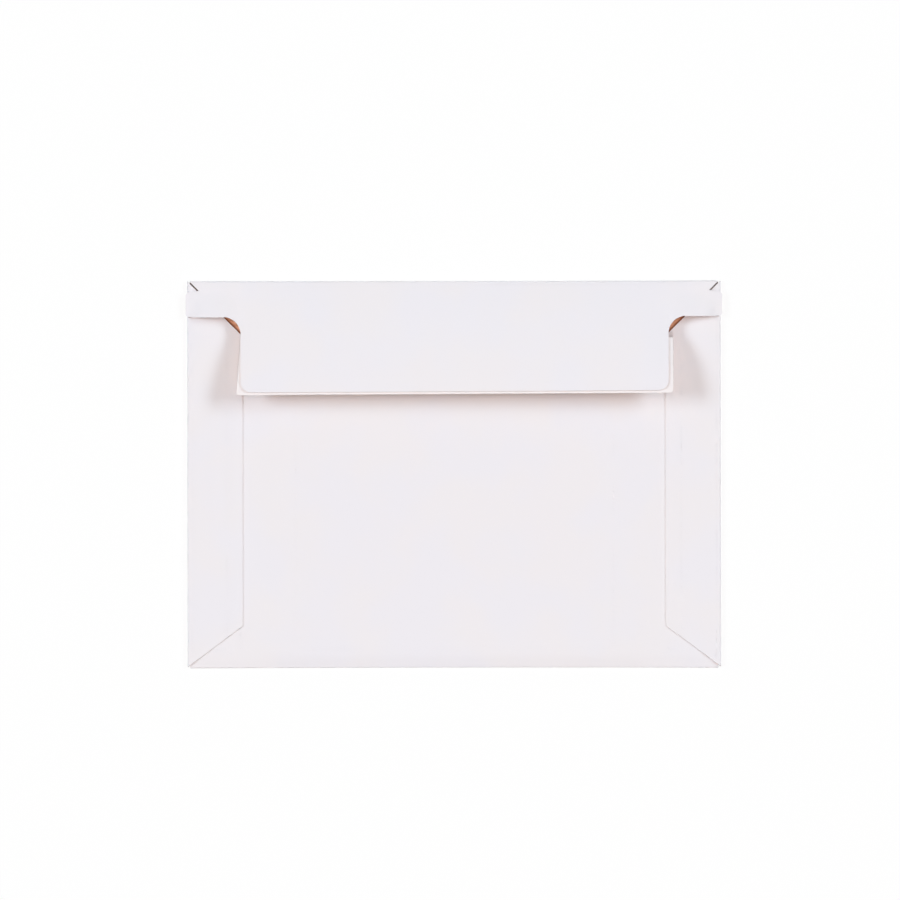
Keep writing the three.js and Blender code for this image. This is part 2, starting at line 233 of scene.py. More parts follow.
class FoldedBoard:
    """Middle surface of the folded sheet, worked out from the board's and the flap's sizes."""

    CROSS_STEPS = (36, 4, 7, 7, 5)  # columns to the tongue's corner, side, shoulder, the notch and the side
    FOLD_STEPS = 14
    BEND_STEPS = 12
    BACK_STEPS = 56
    FRONT_STEPS = 50
    SIDE_STEPS = 20
    NOTCH_ROWS = 6
    EAR_TOP_ROWS = 6
    EAR_CORNER_STEPS = 6
    EAR_ROWS = 9
    SHOULDER_STEPS = 12
    TONGUE_ROWS = 25
    TONGUE_CORNER_STEPS = 8
    BACK_CROWDING = 1.9  # how much closer the back panel's rows lie at the bottom fold
    FOLD_TRACE = 1.6 * MM  # how far from a fold its trace in the coating fades
    HOLLOW_REACH = 30 * MM  # how far from a long fold its hollow is felt
    TIP_FLAT = 0.3  # share of an ear's tip that does not curl

    def __init__(self, scene):
        self.board = board = scene.envelope_board
        self.flap = flap = scene.envelope_flap
        half = board.thickness / 2
        self.half_width = board.width / 2
        self.half_height = board.height / 2
        self.front_z = half
        self.back_z = 3 * half + board.pocket_gap
        self.side_z = self.back_z + board.glue + 2 * half
        self.side_radius = (self.side_z - half) / 2
        self.side_x = self.half_width - self.side_radius - half
        self.panel_half = self.side_x - board.panel_play
        self.seam_x = self.half_width - board.side_flap
        self.mouth_y = self.half_height - board.mouth_drop
        self.crease_radius = board.pinch / 2 - half
        self.crease_y = board.pinch / 2 - self.half_height
        self.tongue_half = flap.tongue_width / 2
        self.shoulder_x = self.tongue_half + flap.shoulder_radius
        self.ear_half = self.half_width + flap.ear_overhang
        self.ear_y = self.half_height - flap.ear_depth
        self.fold_end = self.half_width - flap.notch_inset
        self.notch_y = self.half_height - flap.notch_depth
        self.notch_x = self.fold_end - flap.notch_depth
        self.free_y = self.half_height - flap.tongue_reach
        cos_start = math.cos(flap.start_angle)
        flap_under = self.side_z + half + flap.ear_clearance
        self.fold_radius = (flap_under - half * (1 - cos_start)) / (1 + cos_start)
        self.fold_y = self.half_height - self.fold_radius - half
        self.fold_z = self.fold_radius + half
        self.flap_y = self.fold_y + self.fold_radius * math.sin(flap.start_angle)
        self.flap_z = self.fold_z + self.fold_radius * cos_start
        turn = math.sin(flap.start_angle) - math.sin(flap.end_angle)
        self.flap_radius = (self.flap_y - self.free_y) / turn
        self.arc_y = self.flap_y - self.flap_radius * math.sin(flap.start_angle)
        self.arc_z = self.flap_z - self.flap_radius * cos_start

    def back_height(self, x, away):
        """The back panel: pinched at the bottom fold, it rises straight and then eases off by the integral
        of a smooth step down (u - u^3 + u^4 / 2), to a level that is bowed out between the side flaps and
        flat under them."""
        board = self.board
        ease = board.ramp_end - board.ramp
        u = np.clip((away - board.ramp) / ease, 0, 1)
        risen = np.minimum(away, board.ramp) + ease * (u - u ** 3 + u ** 4 / 2)
        pinched = board.pinch - board.thickness / 2
        bow = board.bow * (1 - smoothstep(np.abs(x), self.seam_x - board.bow_edge, self.seam_x))
        return pinched + (self.back_z - pinched + bow) * risen / (board.ramp + ease / 2)

    def arc_height(self, y, inset=0.0):
        """Height of the flap's arc, or of one that lies inset under it."""
        reach = np.minimum(y, self.flap_y) - self.arc_y
        return self.arc_z + np.sqrt((self.flap_radius - inset) ** 2 - reach ** 2)

    def flap_height(self, x, y, inset=0.0):
        """The flap's arc with the part of its rise that it keeps: more to the right and less to the left,
        none at an ear's tip, from there (3 u - u^3) / 2 up to all of it, and all of it again below the
        shoulders. An ear's lower edge curls up by smooth steps: down the ear, out from the shoulder and
        back before the tip."""
        flap = self.flap
        rise = self.arc_height(y) - self.flap_z
        from_tip = np.clip((self.ear_half - np.abs(x)) / flap.ear_bend, 0, 1)
        ear_loss = 1 - (3 * from_tip - from_tip ** 3) / 2
        below_ear = smoothstep(self.ear_y - y, 0, flap.shoulder_fade)
        kept = (1 + flap.twist * x / self.tongue_half) * (1 - ear_loss * (1 - below_ear))
        down = smoothstep(self.notch_y - y, 0, self.notch_y - self.ear_y)
        above = 1 - smoothstep(self.ear_y - y, 0, flap.shoulder_radius)
        out = smoothstep(np.abs(x), self.tongue_half, self.shoulder_x)
        flat_x = self.ear_half - self.TIP_FLAT * flap.ear_tip
        tip = 1 - smoothstep(np.abs(x), self.ear_half - flap.ear_tip, flat_x)
        curl = flap.ear_curl * down * above * out * tip
        return self.arc_height(y, inset) + rise * (kept - 1) + curl

    def ear_bevel(self, x, y):
        """How far the coated face stands back: most along an ear's lower edge, fading down the shoulder and
        out to the ear's tip by smooth steps."""
        flap = self.flap
        near = 1 - smoothstep(np.abs(y - self.ear_y), 0, flap.shoulder_radius / 2)
        inside = 1 - smoothstep(np.abs(x), self.shoulder_x, self.half_width - flap.notch_depth)
        return flap.ear_bevel * near * inside

    def lean(self, x, y):
        """Y of a place on the flap, moved in proportion to X and to the distance from the closing fold."""
        flap = self.flap
        across = (x - flap.tongue_shift) / flap.tongue_width
        return y + flap.slant * across * (self.half_height - y) / flap.tongue_reach

    def edge_lean(self, x):
        """How far the slant moves the free edge along Y."""
        return self.lean(x, self.free_y) - self.free_y

    def hollow(self, x, y):
        """How far a place moves in along Y because the two long folds draw in: most at the pack's middle, by
        a parabola across, fading with the distance from the fold."""
        across = np.clip(1 - (x / self.panel_half) ** 2, 0, 1)
        low = 1 - smoothstep(y, self.crease_y, self.crease_y + self.HOLLOW_REACH)
        high = smoothstep(y, self.fold_y - self.HOLLOW_REACH, self.fold_y)
        return across * (self.board.bottom_hollow * low - self.board.top_hollow * high)

    def half_row(self, half_widths, hand):
        """Distances from the middle along each row. The columns crowd at the outline's own places, and what
        lies past a row's half width is drawn in to it."""
        side = self.tongue_side(hand)
        corner_x, shoulder_x = side - self.flap.tongue_radius, side + self.flap.shoulder_radius
        places = np.array([0, corner_x, side, shoulder_x, self.notch_x, np.inf])
        ends = np.minimum(half_widths[:, None], places)
        parts = [ends[:, :1]]
        for start, end, steps in zip(ends.T[:-1], ends.T[1:], self.CROSS_STEPS):
            parts.append(start[:, None] + np.outer(end - start, np.arange(1, steps + 1) / steps))
        return np.hstack(parts)

    def columns(self, right_widths, left_widths):
        """X across each row, from its left end to its right."""
        return np.hstack([-self.half_row(left_widths, -1)[:, :0:-1], self.half_row(right_widths, 1)])

    def tongue_side(self, hand):
        """Distance from the middle to the tongue's right side (1) or left side (-1)."""
        return self.tongue_half + hand * self.flap.tongue_shift

    def flap_outline(self, hand):
        """Rows down one side of the flap as Y and half width: the notch, the ear with its two round corners,
        the hollow shoulder, the tongue's side and its round corner. Round stretches are quarter circles, and
        a row is given twice where the outline steps sideways."""
        flap = self.flap
        side = self.tongue_side(hand)
        ear_top_x = self.ear_half - flap.ear_top_radius
        ear_top_y = self.notch_y - flap.ear_top_drop
        shoulder_y = self.ear_y - flap.shoulder_radius
        corner_y = self.free_y + flap.tongue_radius
        notch = np.linspace(self.flap_y, self.notch_y, self.NOTCH_ROWS)
        sloped = np.linspace(0, 1, self.EAR_TOP_ROWS)[1:]
        low = sweep(0, 90, self.EAR_CORNER_STEPS)
        top = low[1:]
        hollow = sweep(0, 90, self.SHOULDER_STEPS)
        corner = sweep(0, 90, self.TONGUE_CORNER_STEPS)
        tip = (ear_top_y - flap.ear_top_radius, self.ear_y + flap.ear_corner_radius)
        rows = [
            (notch, np.minimum(self.panel_half, self.fold_end - self.half_height + notch)),
            (self.notch_y - flap.ear_top_drop * sloped,
             self.notch_x + (ear_top_x - self.notch_x) * sloped),
            (ear_top_y - flap.ear_top_radius * (1 - np.cos(top)),
             ear_top_x + flap.ear_top_radius * np.sin(top)),
            (np.linspace(*tip, self.EAR_ROWS), np.full(self.EAR_ROWS, self.ear_half)),
            (self.ear_y + flap.ear_corner_radius * (1 - np.sin(low)),
             self.ear_half - flap.ear_corner_radius * (1 - np.cos(low))),
            (shoulder_y + flap.shoulder_radius * np.cos(hollow),
             side + flap.shoulder_radius * (1 - np.sin(hollow))),
            (np.linspace(shoulder_y, corner_y, self.TONGUE_ROWS), np.full(self.TONGUE_ROWS, side)),
            (corner_y - flap.tongue_radius * np.sin(corner),
             side - flap.tongue_radius * (1 - np.cos(corner))),
        ]
        return [np.concatenate(part) for part in zip(*rows)]

    def front_rows(self):
        """Y of the front panel's rows that a side flap shares: evenly from one mitre to the other."""
        low, high = self.mitres(self.panel_half)
        return np.linspace(low, high, self.FRONT_STEPS + 1)

    def mitres(self, x):
        """Y of a side flap's lower and upper mitre at a distance from the pack's middle."""
        board = self.board
        inward = (self.half_width - x) / board.side_flap
        return (inward * board.bottom_mitre + board.bottom_inset - self.half_height,
                self.half_height - board.top_inset - inward * board.top_mitre)

    def strip(self):
        """The long strip as one grid: back panel, bottom fold, front panel, closing fold and flap, row by
        row. The folds are arcs of circles, whose trace fades with e to the minus distance."""
        crowded = np.linspace(1, 0, self.BACK_STEPS + 1) ** self.BACK_CROWDING
        away = (self.mouth_y - self.crease_y) * crowded
        crease = sweep(90, 270, self.FOLD_STEPS)
        front = np.concatenate([[self.crease_y], self.front_rows(), [self.fold_y]])
        fold = sweep(-90, 0, self.FOLD_STEPS // 2)
        over = np.linspace(0, math.pi / 2 - self.flap.start_angle, self.FOLD_STEPS // 2 + 1)
        over_y = self.fold_y + self.fold_radius * np.cos(over)
        over_half = np.minimum(self.panel_half, self.fold_end - self.half_height + over_y)
        flap_y, flap_right = self.flap_outline(1)
        flap_left = self.flap_outline(-1)[1]

        def rows(y, z, halves=None, trace=1.0):
            """Rows at Y and Z, as wide as the panels where no half widths are given."""
            halves = halves or [np.full(len(y), self.panel_half)] * 2
            x = self.columns(*halves)
            spread = [np.broadcast_to(np.reshape(part, (-1, 1)), x.shape) for part in (y, z, trace)]
            return np.dstack([x, *spread, np.zeros(x.shape)])

        def fading(distance):
            return np.exp(-np.abs(distance) / self.FOLD_TRACE)

        back = rows(self.crease_y + away, 0, trace=fading(away))
        back[..., Z] = self.back_height(back[..., X], back[..., Y] - self.crease_y)
        lid = rows(flap_y, 0, (flap_right, flap_left), fading(self.flap_y - flap_y))
        lid[..., BEVEL] = self.ear_bevel(lid[..., X], lid[..., Y])
        lid[..., Y] = self.lean(lid[..., X], lid[..., Y])
        lid[..., Z] = self.flap_height(lid[..., X], lid[..., Y])
        strip = np.concatenate([
            back,
            rows(self.crease_y + self.crease_radius * np.cos(crease),
                 self.board.pinch / 2 + self.crease_radius * np.sin(crease)),
            rows(front, self.front_z, trace=fading(front - self.crease_y) + fading(front - self.fold_y)),
            rows(self.fold_y + self.fold_radius * np.cos(fold),
                 self.fold_z + self.fold_radius * np.sin(fold)),
            rows(over_y, self.fold_z + self.fold_radius * np.sin(over), (over_half, over_half)),
            lid,
        ])
        strip[..., Y] += self.hollow(strip[..., X], strip[..., Y])
        return strip

    def side(self, hand):
        """A side flap as one grid: a section that leaves the front panel, turns up and over in a half circle
        and runs in to the free edge, which a smooth step presses in. It is carried along Y between the two
        mitres. Hand is 1 on the right and -1 on the left."""
        bend = sweep(-90, 90, self.BEND_STEPS)
        inward = np.linspace(self.side_x, self.seam_x, self.SIDE_STEPS + 1)[1:]
        x = np.concatenate([[self.panel_half], self.side_x + self.side_radius * np.cos(bend), inward])
        reach = self.board.seam_reach
        sunk = self.board.seam_sink * smoothstep(self.seam_x + reach - inward, 0, reach)
        rise = self.side_radius * (1 + np.sin(bend))
        z = np.concatenate([[self.front_z], self.front_z + rise, self.side_z - sunk])
        flat = np.concatenate([[self.panel_half], np.full(self.BEND_STEPS + 1, self.side_x), inward])
        trace = np.exp((flat - self.side_x) / self.FOLD_TRACE)
        low, high = self.mitres(x)
        rows = self.front_rows()
        along = (rows - rows[0]) / (rows[-1] - rows[0])
        y = low + np.outer(along, high - low)
        bevel = np.zeros(y.shape)
        bevel[0] = self.board.mitre_bevel
        x, z, trace = (np.broadcast_to(part, y.shape) for part in (hand * x, z, trace))
        grid = np.dstack([x, y, z, trace, bevel])
        return grid if hand > 0 else grid[::-1]


def unit(vectors):
    """The vectors at length 1; one that has no length stays as it is."""
    lengths = np.linalg.norm(vectors, axis=1, keepdims=True)
    return vectors / np.where(lengths > 0, lengths, 1)


def face_normals(points, faces):
    """Each face's normal, as long as twice its area: the cross product of its diagonals."""
    corners = points[faces]
    return np.cross(corners[:, 2] - corners[:, 0], corners[:, 3] - corners[:, 1])


def weld(grids):
    """Joins grids: points that agree to the weld's step become one, and each grid cell that has an area
    becomes a face. Returns the points, their traces, their bevels and the faces' corners."""
    layers, faces, count = [], [], 0
    for grid in grids:
        rows, columns, depth = grid.shape
        index = count + np.arange(rows * columns).reshape(rows, columns)
        cells = [index[:-1, :-1], index[1:, :-1], index[1:, 1:], index[:-1, 1:]]
        faces.append(np.stack(cells, -1).reshape(-1, 4))
        layers.append(grid.reshape(-1, depth))
        count += index.size
    layers, faces = np.concatenate(layers), np.concatenate(faces)
    places = np.round(layers[:, :TRACE] / WELD_STEP).astype(np.int64)
    _, first, joined = np.unique(places, axis=0, return_index=True, return_inverse=True)
    layers, faces = layers[first], joined.ravel()[faces]
    points = layers[:, :TRACE]
    areas = np.linalg.norm(face_normals(points, faces), axis=1) / 2
    return points, layers[:, TRACE], layers[:, BEVEL], faces[areas > LEAST_AREA]


def open_edges(faces, count):
    """Starts and stops of the edges that only one face has: no face runs along them the other way."""
    edges = np.concatenate([np.stack([faces[:, k], faces[:, (k + 1) % 4]], -1) for k in range(4)])
    edges = edges[edges[:, 0] != edges[:, 1]]
    alone = ~np.isin(edges[:, 0] * count + edges[:, 1], edges[:, 1] * count + edges[:, 0])
    return edges[alone].T


def new_object(name, data):
    """An object in the scene, at the origin."""
    made = bpy.data.objects.new(name, data)
    bpy.context.scene.collection.objects.link(made)
    return made


def sheet_mesh(name, grids, thickness, materials):
    """A sheet of even thickness round a middle surface. Both faces lie half the thickness off, along the
    mean of the normals around a point, and a rim joins them along each edge that only one face has. Where
    the grids carry a bevel, the outer face's edge stands back by it, square to the edge. The point value
    skin is 1 on the outer face and 0 on the inner one, and fold is the grids' trace. The materials are for
    the outer face, the inner face and the rim."""
    points, fold, bevel, faces = weld(grids)
    count = len(points)
    normals = unit(face_normals(points, faces))
    turned = np.zeros_like(points)
    for corner in faces.T:
        np.add.at(turned, corner, normals)
    turned = unit(turned)
    start, stop = open_edges(faces, count)
    outward = np.zeros_like(points)
    for end in (start, stop):
        np.add.at(outward, end, np.cross(points[stop] - points[start], turned[end]))
    outer = points + turned * thickness / 2 - unit(outward) * bevel[:, None]
    places = np.concatenate([outer, points - turned * thickness / 2])
    rim = np.stack([stop, start, start + count, stop + count], -1)
    shells = [faces, faces[:, ::-1] + count, rim]
    kinds = np.repeat(np.arange(3), [len(shell) for shell in shells])
    shells = np.concatenate(shells)
    whole = np.all(shells != np.roll(shells, -1, axis=1), axis=1)
    pinched = shells[~whole]
    triangles = pinched[pinched != np.roll(pinched, -1, axis=1)].reshape(-1, 3)
    mesh = bpy.data.meshes.new(name)
    mesh.from_pydata(places.tolist(), [], shells[whole].tolist() + triangles.tolist())
    kinds = np.concatenate([kinds[whole], kinds[~whole]])
    mesh.polygons.foreach_set("material_index", kinds.astype(np.int32))
    for label, values in (("skin", np.repeat([1.0, 0.0], count)), ("fold", np.tile(fold, 2))):
        carried = mesh.attributes.new(label, "FLOAT", "POINT")
        carried.data.foreach_set("value", values.astype(np.float32))
    for material in materials:
        mesh.materials.append(material)
    mesh.shade_smooth()
    mesh.set_sharp_from_angle(angle=SHARP_ANGLE)
    mesh.validate()
    return new_object(name, mesh)


class SealStrip:
    """Middle surfaces of the release liner and the adhesive under the tongue."""

    LINER_COLUMNS = 120
    LINER_ROWS = 28
    LINER_CORNER_STEPS = 6
    ADHESIVE_COLUMNS = 60
    ADHESIVE_ROWS = 21
    RIPPLE_PART = 0.25  # of the liner's droop
    RIPPLE_X = 83 * MM  # length of the ripple's waves along the strip
    RIPPLE_Y = 61 * MM  # and across it

    def __init__(self, scene):
        self.sheet = sheet = FoldedBoard(scene)
        self.strip = strip = scene.envelope_strip
        self.top_y = sheet.half_height - strip.liner_top
        self.adhesive_depth = sheet.board.thickness / 2 + strip.bond_gap + strip.adhesive_thickness / 2
        self.liner_depth = (self.adhesive_depth + strip.adhesive_thickness / 2 + strip.bond_gap
                            + strip.liner_thickness / 2)

    def across(self, left, right, columns):
        """X of a grid's points: evenly between a left and a right end for each row."""
        return left[:, None] + np.outer(right - left, np.linspace(0, 1, columns + 1))

    def under_tongue(self, x, y, depth):
        """A grid at a depth below the middle of the tongue's board."""
        z = self.sheet.flap_height(x, y, depth)
        return np.dstack([x, y, z, np.zeros(x.shape), np.zeros(x.shape)])

    def liner(self):
        """The liner: its left end leans in, and its lower right corner is a quarter circle. Past the
        adhesive it hangs away with the square of the distance, in slow sine waves."""
        sheet, strip = self.sheet, self.strip
        reach = self.top_y - sheet.free_y + strip.liner_overhang
        straight = reach - strip.liner_radius
        turn = 1 - np.sin(sweep(0, 90, self.LINER_CORNER_STEPS)[1:])
        upper = np.linspace(0, straight, self.LINER_ROWS)
        down = np.concatenate([upper, reach - strip.liner_radius * turn])
        along = down / reach
        into_corner = np.clip((down - straight) / strip.liner_radius, 0, 1)
        round_in = strip.liner_radius * (1 - np.sqrt(1 - into_corner ** 2))
        left = strip.liner_slant * (1 - along) - sheet.tongue_side(-1) - strip.liner_left
        right = sheet.tongue_side(1) + strip.liner_right - round_in
        x = self.across(left, right, self.LINER_COLUMNS)
        y = self.top_y - down[:, None] + sheet.edge_lean(x) * along[:, None]
        past_adhesive = sheet.lean(x, sheet.free_y) + strip.adhesive_margin - y
        loose = np.maximum(past_adhesive / strip.adhesive_margin, 0)
        wave = np.sin(2 * math.pi * (x / self.RIPPLE_X + y / self.RIPPLE_Y))
        ripple = 1 - self.RIPPLE_PART + self.RIPPLE_PART * wave
        return self.under_tongue(x, y, self.liner_depth + strip.liner_droop * loose ** 2 * ripple)

    def adhesive(self):
        """The adhesive: an even band within the tongue's sides, the liner's top and the free edge."""
        sheet, margin = self.sheet, self.strip.adhesive_margin
        top_y = self.top_y - margin
        low_y = sheet.free_y + margin
        along = np.linspace(0, 1, self.ADHESIVE_ROWS)
        left, right = (hand * np.full(len(along), sheet.tongue_side(hand) - margin) for hand in (-1, 1))
        x = self.across(left, right, self.ADHESIVE_COLUMNS)
        y = top_y + (low_y - top_y + sheet.edge_lean(x)) * along[:, None]
        return self.under_tongue(x, y, self.adhesive_depth)


# Finishes

MIX_AMOUNT, MIX_FIRST, MIX_SECOND, MIX_RESULT = 0, 6, 7, 2  # a Mix node's sockets for colours


class Wire:
    """A socket whose sums, differences, products and absolute value add Math nodes to its finish."""

    def __init__(self, finish, socket):
        self.finish = finish
        self.socket = socket

    def __add__(self, other):
        return self.finish.math("ADD", self, other)

    __radd__ = __add__

    def __sub__(self, other):
        return self.finish.math("SUBTRACT", self, other)

    def __rsub__(self, other):
        return self.finish.math("SUBTRACT", other, self)

    def __mul__(self, other):
        return self.finish.math("MULTIPLY", self, other)

    __rmul__ = __mul__

    def __abs__(self):
        return self.finish.math("ABSOLUTE", self)


class Finish:
    """A node tree under construction, for a material or the world."""

    def __init__(self, owner):
        self.owner = owner
        owner.use_nodes = True
        self.tree = owner.node_tree
        self.tree.nodes.clear()

    def add(self, kind, settings=None, sockets=None, output=0):
        """A node of a kind, with its settings made first and then its sockets set or linked."""
        node = self.tree.nodes.new(kind)
        for key, value in (settings or {}).items():
            setattr(node, key, value)
        for key, value in (sockets or {}).items():
            if isinstance(value, Wire):
                self.tree.links.new(value.socket, node.inputs[key])
            else:
                node.inputs[key].default_value = value
        return Wire(self, node.outputs[output]) if len(node.outputs) else node

    def math(self, operation, first, second=0.0):
        return self.add("ShaderNodeMath", {"operation": operation}, {0: first, 1: second})

    def place(self, stretch=(1, 1, 1)):
        """Object coordinates, stretched along each axis."""
        where = self.add("ShaderNodeTexCoord", output="Object")
        return self.add("ShaderNodeMapping", None, {"Vector": where, "Scale": stretch})

    def noise(self, scale, detail=2.0, stretch=(1, 1, 1), roughness=0.5):
        """Even noise with its features at 1 / scale metres."""
        sockets = {"Vector": self.place(stretch), "Scale": scale, "Detail": detail, "Roughness": roughness}
        return self.add("ShaderNodeTexNoise", None, sockets, "Fac")

    def between(self, value, low, high):
        """A value's way from low to high, as a smooth step from 0 to 1."""
        settings = {"interpolation_type": "SMOOTHSTEP"}
        return self.add("ShaderNodeMapRange", settings, {"Value": value, "From Min": low, "From Max": high})

    def blend(self, amount, first, second):
        """A colour between two, by an amount from 0 to 1."""
        first, second = (c if isinstance(c, Wire) else (*c, 1) for c in (first, second))
        sockets = {MIX_AMOUNT: amount, MIX_FIRST: first, MIX_SECOND: second}
        return self.add("ShaderNodeMix", {"data_type": "RGBA"}, sockets, MIX_RESULT)

    def value(self, name):
        """A value that the piece's points carry."""
        return self.add("ShaderNodeAttribute", {"attribute_name": name}, None, "Fac")

    def axis(self, name):
        """One of the Object coordinates."""
        return self.add("ShaderNodeSeparateXYZ", None, {"Vector": self.place()}, name)

    def bump(self, height, strength, distance):
        sockets = {"Height": height, "Strength": strength, "Distance": distance}
        return self.add("ShaderNodeBump", None, sockets)

    def close(self, **sockets):
        """Ends the tree with a Principled shader and gives back the material."""
        sockets = {key.replace("_", " "): value for key, value in sockets.items()}
        shader = self.add("ShaderNodeBsdfPrincipled", None, sockets)
        self.add("ShaderNodeOutputMaterial", None, {"Surface": shader})
        return self.owner


def new_finish(name):
    return Finish(bpy.data.materials.new(name))


def shaded(base, factor):
    """A colour made deeper or paler by a factor."""
    return [min(1, factor * part) for part in base]


def white_face(colours):
    """Clay-coated face: faint warm and cool clouds, a fine grain and hairline breaks at the folds."""
    finish = new_finish("white_face")
    cloud = finish.between(finish.noise(28), 0.36, 0.64)
    grain = finish.noise(2600, detail=3, roughness=0.6)
    fibre = finish.noise(420, stretch=(1, 3, 1))
    breaks = finish.between(finish.noise(1500, stretch=(1, 6, 6)), 0.60, 0.72) * finish.value("fold")
    white = finish.blend(cloud, colours.cool_white, colours.warm_white)
    return finish.close(
        Base_Color=finish.blend(breaks * 0.10, white, colours.core),
        Roughness=0.56 + 0.10 * fibre,
        Normal=finish.bump(grain + 2 * fibre - breaks, strength=0.25, distance=0.03 * MM),
        Specular_IOR_Level=0.35,
    )


def kraft_face(colours, sheet):
    """Uncoated brown face: long fibres, dark flecks and a rough tooth, with a painted shadow of the side
    flaps' cut edges along their upper mitres and painted shade, dark grey, in the slits at the upper
    corners."""
    # painted shadow of a side flap's cut edge, fading off its upper mitre
    mitre_shadow_fades = (0.3 * MM, 1.7 * MM)  # off a mitre
    # painted shade in the corner slits, fading off a corner
    slit_shade_fades = (7 * MM, 9 * MM)  # off a corner
    finish = new_finish("kraft_face")
    fibre = finish.noise(700, detail=4, stretch=(0.25, 1, 1), roughness=0.65)
    fleck = finish.between(finish.noise(1100, stretch=(0.5, 1, 1)), 0.62, 0.72)
    cloud = finish.noise(60)
    pale = finish.between(fibre * 0.7 + cloud * 0.3, 0.35, 0.65)
    brown = finish.blend(pale, colours.dark_kraft, colours.kraft)
    flecked = finish.blend(fleck * 0.35, brown, colours.dark_kraft)
    aside = sheet.half_width - abs(finish.axis("X"))
    below = sheet.half_height - finish.axis("Y")
    # painted shadow along the side flaps' upper mitres, where their cut edges shade the inner face
    out_of_mitre_shadow = finish.between(abs(aside - below), *mitre_shadow_fades)
    mitre_shadowed = finish.blend(out_of_mitre_shadow, colours.mitre_shadow_kraft, flecked)
    # painted shade: dark grey in the slits at the upper corners, over the painted mitre shadow and the kraft
    off_corner = finish.between(finish.math("MAXIMUM", aside, below), *slit_shade_fades)
    return finish.close(
        Base_Color=finish.blend(off_corner, colours.corner_slit_shade, mitre_shadowed),
        Roughness=0.78 + 0.12 * fibre,
        Normal=finish.bump(fibre, strength=0.35, distance=0.05 * MM),
        Specular_IOR_Level=0.2,
    )


def cut_edge(colours):
    """Die-cut edge: a fibrous grey core between the white coat and the kraft face, each a thin line."""
    kraft_ends = (0.06, 0.16)  # by the skin value, 0 on the inner face
    coat_starts = (0.92, 1.0)  # and 1 on the outer one
    finish = new_finish("cut_edge")
    fibre = finish.noise(3000, detail=3, stretch=(1, 1, 3), roughness=0.6)
    depth = finish.value("skin") + 0.1 * fibre
    lined = finish.blend(finish.between(depth, *kraft_ends), colours.kraft, colours.core)
    return finish.close(
        Base_Color=finish.blend(finish.between(depth, *coat_starts), lined, colours.warm_white),
        Roughness=0.85,
        Normal=finish.bump(fibre, strength=0.3, distance=0.04 * MM),
        Specular_IOR_Level=0.15,
    )


def release_paper(name, paper, roughness):
    """Release paper, white and silicone-coated or plain: soft fibre clouds under a sheen."""
    finish = new_finish(name)
    cloud = finish.noise(320, detail=3, stretch=(0.6, 1, 1))
    fine = finish.noise(1800)
    return finish.close(
        Base_Color=finish.blend(finish.between(cloud, 0.30, 0.70), shaded(paper, 0.97), paper),
        Roughness=roughness + 0.08 * cloud,
        Normal=finish.bump(cloud + 0.5 * fine, strength=0.15, distance=0.03 * MM),
        Specular_IOR_Level=0.45,
    )


def tacky_adhesive(colours):
    """Clear amber film with a rippled, glossy skin."""
    finish = new_finish("tacky_adhesive")
    ripple = finish.noise(500, stretch=(1, 0.3, 1))
    paler = shaded(colours.adhesive, 1.08)
    return finish.close(
        Base_Color=finish.blend(finish.between(ripple, 0.35, 0.65), colours.adhesive, paler),
        Roughness=0.18 + 0.12 * ripple,
        Normal=finish.bump(ripple, strength=0.3, distance=0.05 * MM),
    )


def seam_glue(colours):
    """Dried glue: cloudy where it wet the board."""
    finish = new_finish("seam_glue")
    cloud = finish.noise(240, detail=3)
    paler = shaded(colours.glue, 1.1)
    return finish.close(
        Base_Color=finish.blend(finish.between(cloud, 0.3, 0.7), colours.glue, paler),
        Roughness=0.38 + 0.2 * cloud,
        Normal=finish.bump(cloud, strength=0.2, distance=0.04 * MM),
    )


# Pieces

def seat(piece, node):
    """The piece rides on the frame's body and stands for a node of the frame."""
    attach(piece, BODY)
    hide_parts(node)


class ENVELOPE_OT_folded_board(bpy.types.Operator):
    """Fold the board: panels, side flaps and the closing flap as one sheet"""

    bl_idname = "envelope.folded_board"
    bl_label = "Folded board"

    def execute(self, context):
        scene = context.scene
        sheet = FoldedBoard(scene)
        colours = scene.envelope_colours
        finishes = [white_face(colours), kraft_face(colours, sheet), cut_edge(colours)]
        grids = [sheet.strip(), sheet.side(1), sheet.side(-1)]
        piece = sheet_mesh("folded_board", grids, sheet.board.thickness, finishes)
        seat(piece, "board_blank")
        return {"FINISHED"}


class ENVELOPE_OT_release_liner(bpy.types.Operator):
    """Lay the release liner over the adhesive, a little past the tongue's edges"""

    bl_idname = "envelope.release_liner"
    bl_label = "Release liner"

    def execute(self, context):
        colours = context.scene.envelope_colours
        coated = release_paper("release_paper", colours.liner, roughness=0.36)
        plain = release_paper("release_paper_back", colours.liner_back, roughness=0.6)
        grid = SealStrip(context.scene).liner()
        thickness = context.scene.envelope_strip.liner_thickness
        piece = sheet_mesh("liner_paper", [grid], thickness, [coated, plain, coated])
        seat(piece, "release_liner")
        return {"FINISHED"}


class ENVELOPE_OT_seal_adhesive(bpy.types.Operator):
    """Spread the self-seal adhesive under the tongue"""

    bl_idname = "envelope.seal_adhesive"
    bl_label = "Seal adhesive"

    def execute(self, context):
        finish = tacky_adhesive(context.scene.envelope_colours)
        grid = SealStrip(context.scene).adhesive()
        thickness = context.scene.envelope_strip.adhesive_thickness
        piece = sheet_mesh("adhesive_band", [grid], thickness, [finish] * 3)
        seat(piece, "seal_adhesive")
        return {"FINISHED"}


class ENVELOPE_OT_seam_glue(bpy.types.Operator):
    """Give the two glue lines under the side flaps their finish"""

    bl_idname = "envelope.seam_glue"
    bl_label = "Seam glue"

    def execute(self, context):
        finish = seam_glue(context.scene.envelope_colours)
        for node in ("left_seam_glue", "right_seam_glue"):
            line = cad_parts[node]
            line.data.materials.clear()
            line.data.materials.append(finish)
        return {"FINISHED"}


# Stage

LAMP_STEPS = 40  # squares along a lamp's side, over which its light is averaged
FLOOR_FADE = (0.2, 0.5)  # metres from the middle, over which the floor's shadow ends
FLOOR_GAP = 0.02 * MM  # from the floor up to the envelope


